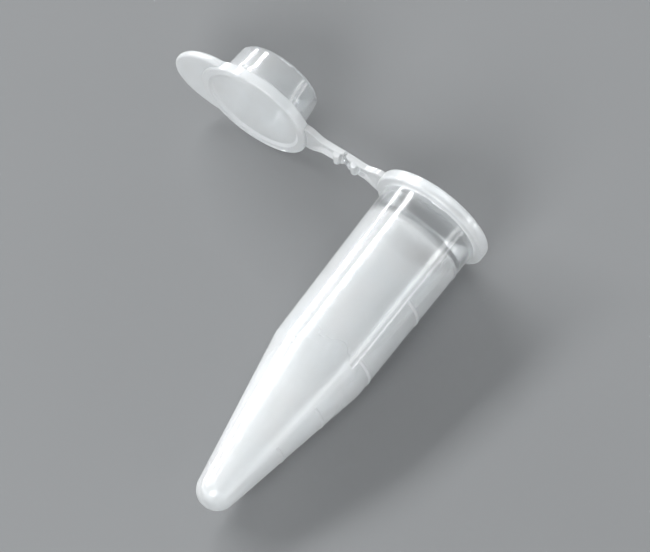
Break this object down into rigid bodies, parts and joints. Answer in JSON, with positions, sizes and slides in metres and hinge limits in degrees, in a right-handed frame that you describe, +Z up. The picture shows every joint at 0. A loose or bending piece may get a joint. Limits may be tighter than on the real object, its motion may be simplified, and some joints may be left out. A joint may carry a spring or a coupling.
{
  "type": "microcentrifuge tube",
  "caption": "Conical snap-cap microcentrifuge tube lying on its side, its hinged lid with hollow plug and thumb tab folded back.",
  "frame": {"origin": "centre of the footprint, on the surface that the tube lies on", "axes": "+X towards the open mouth, along the tube's length; +Y towards the lid; +Z up"},
  "size_m": [0.0418, 0.0376, 0.0128],
  "materials": {
    "natural_polypropylene": "translucent natural polypropylene, smooth moulded surface"
  },
  "bodies": {
    "tube": {"barrel": "natural_polypropylene", "cone": "natural_polypropylene", "rim_flange": "natural_polypropylene", "tube_strap": "natural_polypropylene", "tube_hinge_rib": "natural_polypropylene", "graduation_0_1": "natural_polypropylene", "graduation_0_25": "natural_polypropylene", "graduation_0_5": "natural_polypropylene", "graduation_1_0": "natural_polypropylene", "graduation_1_5": "natural_polypropylene"},
    "lid": {"lid_plate": "natural_polypropylene", "lid_rim": "natural_polypropylene", "lid_plug": "natural_polypropylene", "thumb_tab": "natural_polypropylene", "lid_strap": "natural_polypropylene", "lid_hinge_rib": "natural_polypropylene"}
  },
  "joints": [
    {"name": "lid_hinge", "type": "hinge", "parent": "tube", "child": "lid", "pos_m": [0.01719, -0.00159, 0.00646], "axis": [0.0699, 0, -0.9976], "range_deg": [-22, 181.5]}
  ]
}
